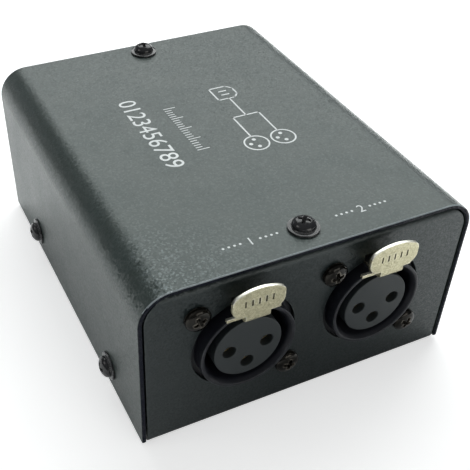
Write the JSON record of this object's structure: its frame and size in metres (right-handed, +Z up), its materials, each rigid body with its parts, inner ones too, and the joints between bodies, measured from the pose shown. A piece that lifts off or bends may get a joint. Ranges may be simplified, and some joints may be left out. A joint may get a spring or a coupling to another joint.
{
  "type": "usb dmx interface",
  "caption": "Small black sheet metal box with round three-pin lighting sockets and spring latches in front, a square USB inlet at the rear and dome-headed screws.",
  "frame": {"origin": "centre of the underside, on the surface the box stands on", "axes": "+X to the right across the front panel, +Y from the front panel to the rear, +Z up; the sockets face -Y"},
  "size_m": [0.0848, 0.1026, 0.0461],
  "materials": {
    "cover_coat": "satin black powder coat with a fine grain",
    "chassis_coat": "satin black powder coat with a fine grain",
    "black_screw": "gloss black",
    "dark_screw": "dark gunmetal, satin",
    "plain_steel": "bright zinc",
    "housing_plastic": "satin black moulding",
    "insert_plastic": "matte dark grey moulding",
    "latch_nickel": "satin nickel, warm",
    "contact_metal": "plated, satin",
    "board_mask": "green solder mask",
    "usb_metal": "bright tin plate",
    "usb_plastic": "black moulding",
    "chip_plastic": "black moulding with tinned leads",
    "can_metal": "bright can",
    "ceramic": "tan ceramic with tinned ends",
    "resistor": "black film with tinned ends"
  },
  "bodies": {
    "box": {"cover": "cover_coat", "chassis": "chassis_coat", "top_screw_front": "black_screw", "top_screw_rear": "black_screw", "side_screw_left_front": "black_screw", "side_screw_left_rear": "black_screw", "side_screw_right_front": "black_screw", "side_screw_right_rear": "black_screw", "socket_1_housing": "housing_plastic", "socket_1_insert": "insert_plastic", "socket_1_contact_1": "contact_metal", "socket_1_contact_2": "contact_metal", "socket_1_contact_3": "contact_metal", "socket_1_latch_pin": "plain_steel", "socket_1_latch_spring": "plain_steel", "socket_1_screw_upper": "dark_screw", "socket_1_screw_lower": "dark_screw", "socket_2_housing": "housing_plastic", "socket_2_insert": "insert_plastic", "socket_2_contact_1": "contact_metal", "socket_2_contact_2": "contact_metal", "socket_2_contact_3": "contact_metal", "socket_2_latch_pin": "plain_steel", "socket_2_latch_spring": "plain_steel", "socket_2_screw_upper": "dark_screw", "socket_2_screw_lower": "dark_screw", "circuit_board": "board_mask", "spacers": "contact_metal", "board_screws": "plain_steel", "usb_shell": "usb_metal", "usb_insulator": "usb_plastic", "usb_contacts": "contact_metal", "microcontroller": "chip_plastic", "usb_bridge_chip": "chip_plastic", "line_driver_1": "chip_plastic", "line_driver_2": "chip_plastic", "voltage_regulator": "chip_plastic", "crystal": "can_metal", "capacitor_1": "can_metal", "capacitor_2": "can_metal", "resistors": "resistor", "ceramic_capacitors": "ceramic"},
    "latch_1": {"socket_1_latch": "latch_nickel"},
    "latch_2": {"socket_2_latch": "latch_nickel"}
  },
  "joints": [
    {"name": "latch_1_press", "type": "hinge", "parent": "box", "child": "latch_1", "pos_m": [-0.01605, -0.0321, 0.0351], "axis": [-1, 0, 0], "range_deg": [0, 5], "stiffness_Nm_per_rad": 0.08, "springref_deg": -8.59, "deforming": ["socket_1_latch_spring"]},
    {"name": "latch_2_press", "type": "hinge", "parent": "box", "child": "latch_2", "pos_m": [0.01605, -0.0321, 0.0351], "axis": [-1, 0, 0], "range_deg": [0, 5], "stiffness_Nm_per_rad": 0.08, "springref_deg": -8.59, "deforming": ["socket_2_latch_spring"]}
  ]
}
